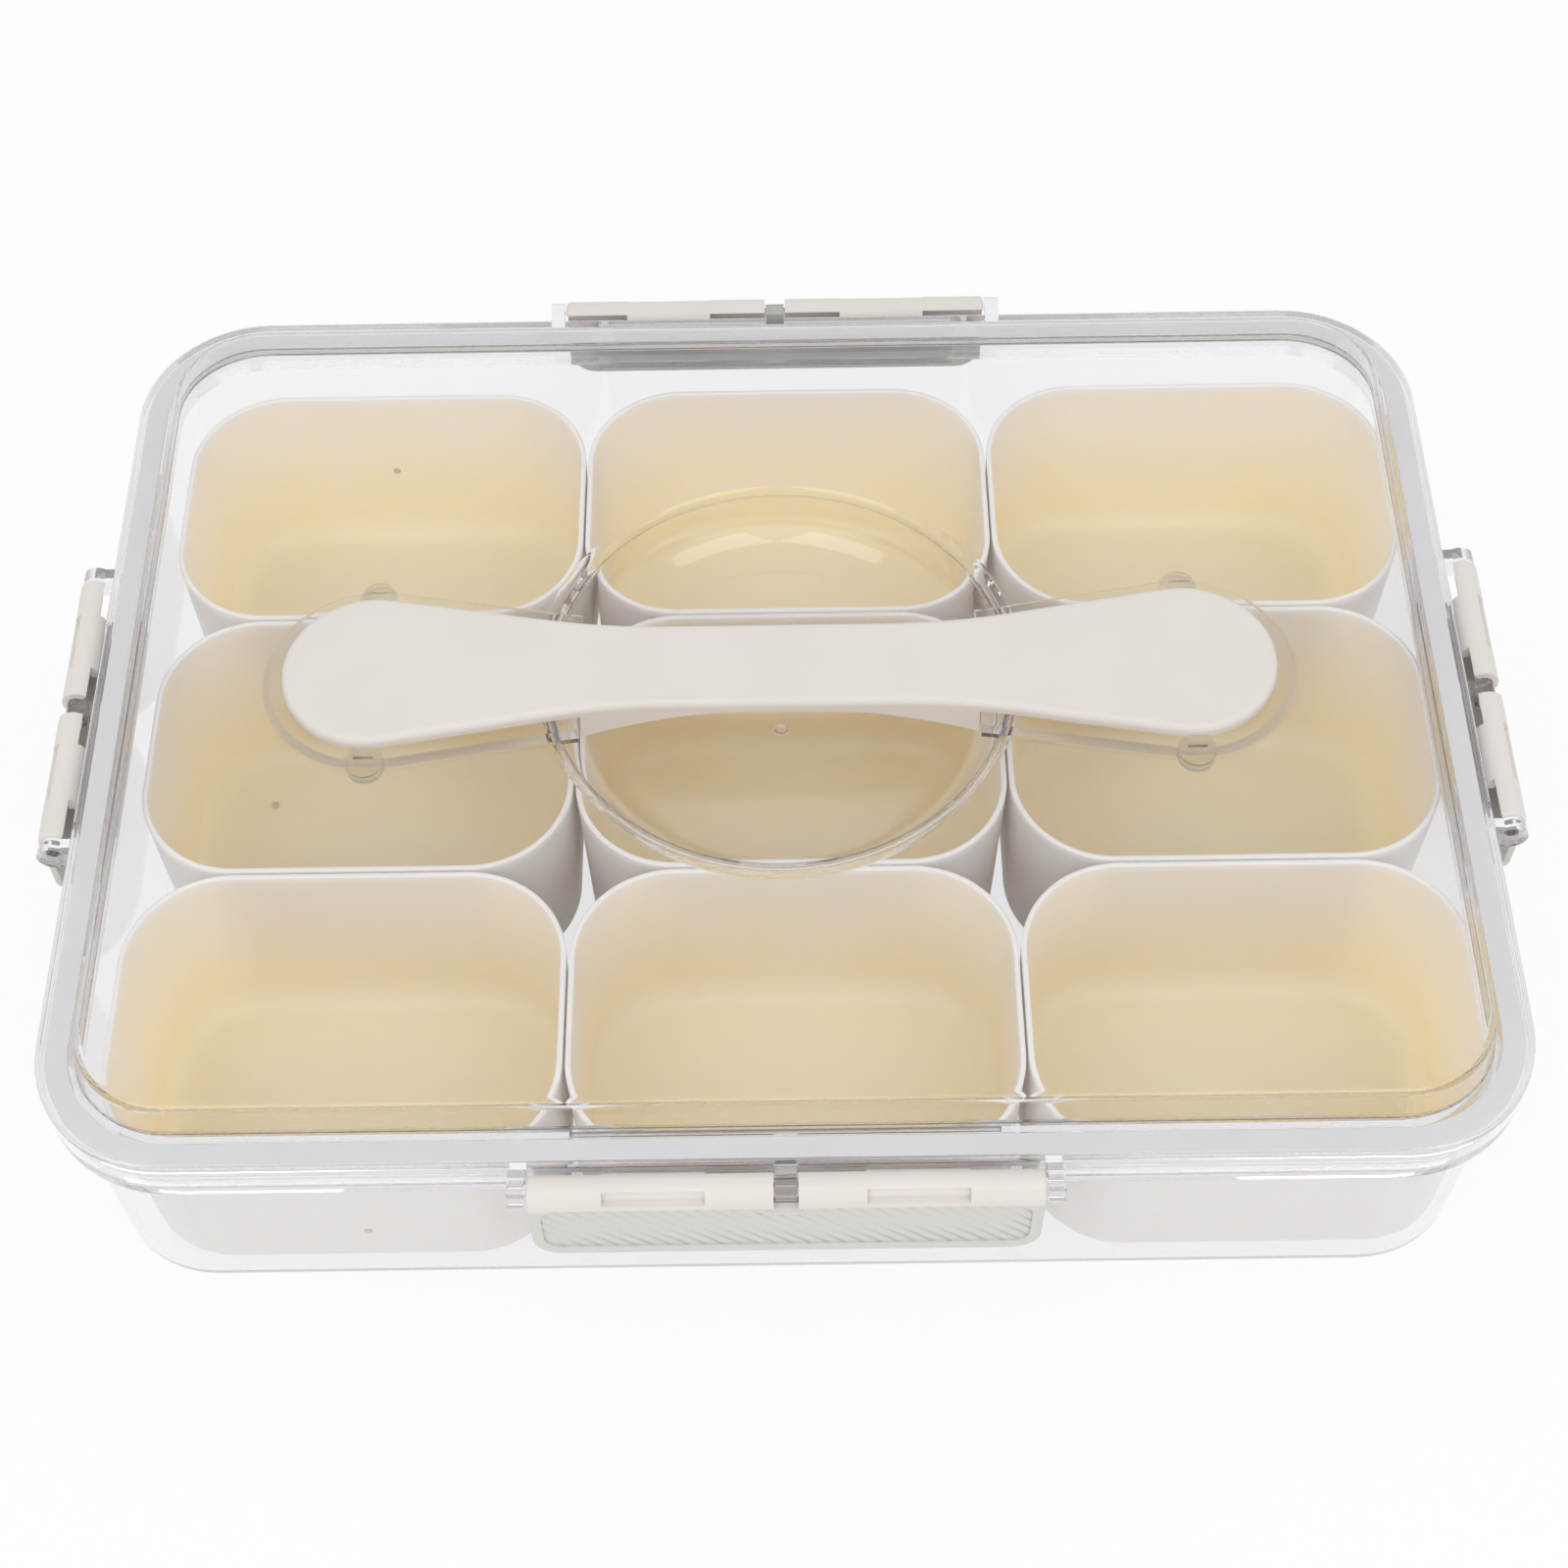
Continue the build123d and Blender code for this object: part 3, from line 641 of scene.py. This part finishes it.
class SNACKTRAY_OT_gate_marks(bpy.types.Operator):
    """Small round moulding marks on three bins and in the well's floor"""

    bl_idname = "snack_tray.gate_marks"
    bl_label = "Moulding marks"

    def execute(self, context):
        detail = context.scene.snack_tray_detail
        colour = context.scene.snack_tray_finish.gate_colour
        dark = satin_plastic("moulded_mark", colour, darker(colour, share=0.9), roughness=0.45)
        bpy.context.view_layer.update()
        for name, offset, way in GATE_MARKS:
            low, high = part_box(name)
            start = (low + high) / 2 + Vector(offset) * MM
            hit, place, normal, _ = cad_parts[name].ray_cast(start, Vector(way))
            if not hit:
                raise RuntimeError("no face for the moulding mark on " + name)
            clear = name == "lid"
            work = bmesh.new()
            scale = WELL_MARK_SCALE if clear else 1
            button(work, place, normal, detail.gate_radius * scale, detail.gate_height)
            material = bpy.data.materials["moulded_clear"] if clear else dark
            finish_piece(work, name + "_gate", material, name)
        return {"FINISHED"}


class SNACKTRAY_OT_bins(bpy.types.Operator):
    """Milky cream plastic for the nine bins"""

    bl_idname = "snack_tray.bins"
    bl_label = "Bins"

    def execute(self, context):
        dress(BIN_NAMES, bin_plastic(context.scene.snack_tray_finish))
        return {"FINISHED"}


class SNACKTRAY_OT_stage(bpy.types.Operator):
    """White floor and surroundings, two soft lamps in front and the camera"""

    bl_idname = "snack_tray.stage"
    bl_label = "Stage"

    def execute(self, context):
        stage = context.scene.snack_tray_stage
        context.scene.view_settings.view_transform = "Standard"
        paths = context.scene.cycles
        paths.max_bounces = paths.transmission_bounces = stage.clear_bounces
        paths.transparent_max_bounces = stage.clear_bounces
        paths.glossy_bounces = stage.mirror_bounces
        paths.diffuse_bounces = stage.soft_bounces
        self.make_floor(stage)
        self.make_sky(context.scene, stage)
        for side in (-1, 1):
            self.make_softbox(stage, side)
        self.make_camera(context.scene, stage)
        return {"FINISHED"}

    def make_floor(self, stage):
        """Large white floor that keeps a faint shadow of the tray."""
        half, drop = 4.0, 0.3 * MM
        mesh = bpy.data.meshes.new("floor")
        corners = [(x * half, y * half, -drop) for x, y in ((-1, -1), (1, -1), (1, 1), (-1, 1))]
        mesh.from_pydata(corners, [], [(0, 1, 2, 3)])
        floor = bpy.data.objects.new("floor", mesh)
        bpy.context.scene.collection.objects.link(floor)
        material, tree, output = new_material("floor_white")
        lit = add_node(tree, "ShaderNodeBsdfDiffuse")
        lit.inputs["Color"].default_value = (*stage.floor_colour, 1)
        glow = add_node(tree, "ShaderNodeEmission")
        mix = add_node(tree, "ShaderNodeMixShader")
        tree.links.new(calc(tree, "MULTIPLY", seen_ray(tree), stage.floor_glow), mix.inputs[0])
        tree.links.new(lit.outputs[0], mix.inputs[1])
        tree.links.new(glow.outputs[0], mix.inputs[2])
        tree.links.new(mix.outputs[0], output.inputs["Surface"])
        mesh.materials.append(material)

    def make_sky(self, scene, stage):
        """Even white surroundings, whose light on the tray has a strength of its own."""
        world = bpy.data.worlds.new("studio")
        world.use_nodes = True
        tree = world.node_tree
        tree.nodes.clear()
        output = add_node(tree, "ShaderNodeOutputWorld")
        lighting = add_node(tree, "ShaderNodeBackground")
        lighting.inputs["Strength"].default_value = stage.sky
        shown = add_node(tree, "ShaderNodeBackground")
        for background in (lighting, shown):
            background.inputs["Color"].default_value = (1, 1, 1, 1)
        mix = add_node(tree, "ShaderNodeMixShader")
        tree.links.new(seen_ray(tree), mix.inputs[0])
        tree.links.new(lighting.outputs[0], mix.inputs[1])
        tree.links.new(shown.outputs[0], mix.inputs[2])
        tree.links.new(mix.outputs[0], output.inputs["Surface"])
        scene.world = world

    def make_softbox(self, stage, side):
        """Soft lamp in front and above, on the left or on the right."""
        light = bpy.data.lights.new("softbox", "AREA")
        light.size = stage.softbox_size
        light.energy = stage.softbox_power
        lamp = bpy.data.objects.new("softbox", light)
        across, ahead, above = stage.softbox_place
        lamp.location = (side * across, ahead, above)
        lamp.rotation_euler = (-lamp.location).to_track_quat("-Z", "Y").to_euler()
        bpy.context.scene.collection.objects.link(lamp)

    def make_camera(self, scene, stage):
        """Camera where the photograph was taken from."""
        data = bpy.data.cameras.new("camera")
        data.sensor_width = SENSOR_WIDTH
        data.lens = stage.lens
        data.shift_x, data.shift_y = stage.camera_shift
        camera = bpy.data.objects.new("camera", data)
        turn = Matrix.Rotation(-stage.camera_yaw, 4, "Z")
        tilt = Matrix.Rotation(math.pi / 2 - stage.camera_pitch, 4, "X")
        tip = Matrix.Rotation(-stage.camera_roll, 4, "Z")
        camera.matrix_world = Matrix.Translation(stage.camera_place) @ turn @ tilt @ tip
        scene.collection.objects.link(camera)
        scene.camera = camera


class SNACKTRAY_PT_panel(bpy.types.Panel):
    """Sizes, colours and building steps of the snack tray"""

    bl_idname = "SNACKTRAY_PT_panel"
    bl_label = "Snack Tray"
    bl_space_type = "VIEW_3D"
    bl_region_type = "UI"
    bl_category = "Snack Tray"

    def draw(self, context):
        for step in STEPS:
            self.layout.operator(step.bl_idname)
        for name in GROUPS:
            settings = getattr(context.scene, name)
            box = self.layout.box()
            for key in settings.bl_rna.properties.keys()[1:]:
                box.prop(settings, key)


GROUPS = {
    "snack_tray_finish": SnackTrayFinish,
    "snack_tray_detail": SnackTrayDetail,
    "snack_tray_stage": SnackTrayStage,
}
STEPS = (
    SNACKTRAY_OT_clear_parts,
    SNACKTRAY_OT_seal,
    SNACKTRAY_OT_handle,
    SNACKTRAY_OT_latches,
    SNACKTRAY_OT_bins,
    SNACKTRAY_OT_gate_marks,
    SNACKTRAY_OT_stage,
)
CLASSES = (*GROUPS.values(), *STEPS, SNACKTRAY_PT_panel)


def register():
    for kind in CLASSES:
        bpy.utils.register_class(kind)
    for name, group in GROUPS.items():
        setattr(bpy.types.Scene, name, bpy.props.PointerProperty(type=group))


def unregister():
    for name in GROUPS:
        delattr(bpy.types.Scene, name)
    for kind in reversed(CLASSES):
        bpy.utils.unregister_class(kind)


def main():
    """Registers the add-on and runs its steps in order."""
    register()
    for step in STEPS:
        group, name = step.bl_idname.split(".")
        getattr(getattr(bpy.ops, group), name)()


if __name__ == "__main__":
    main()
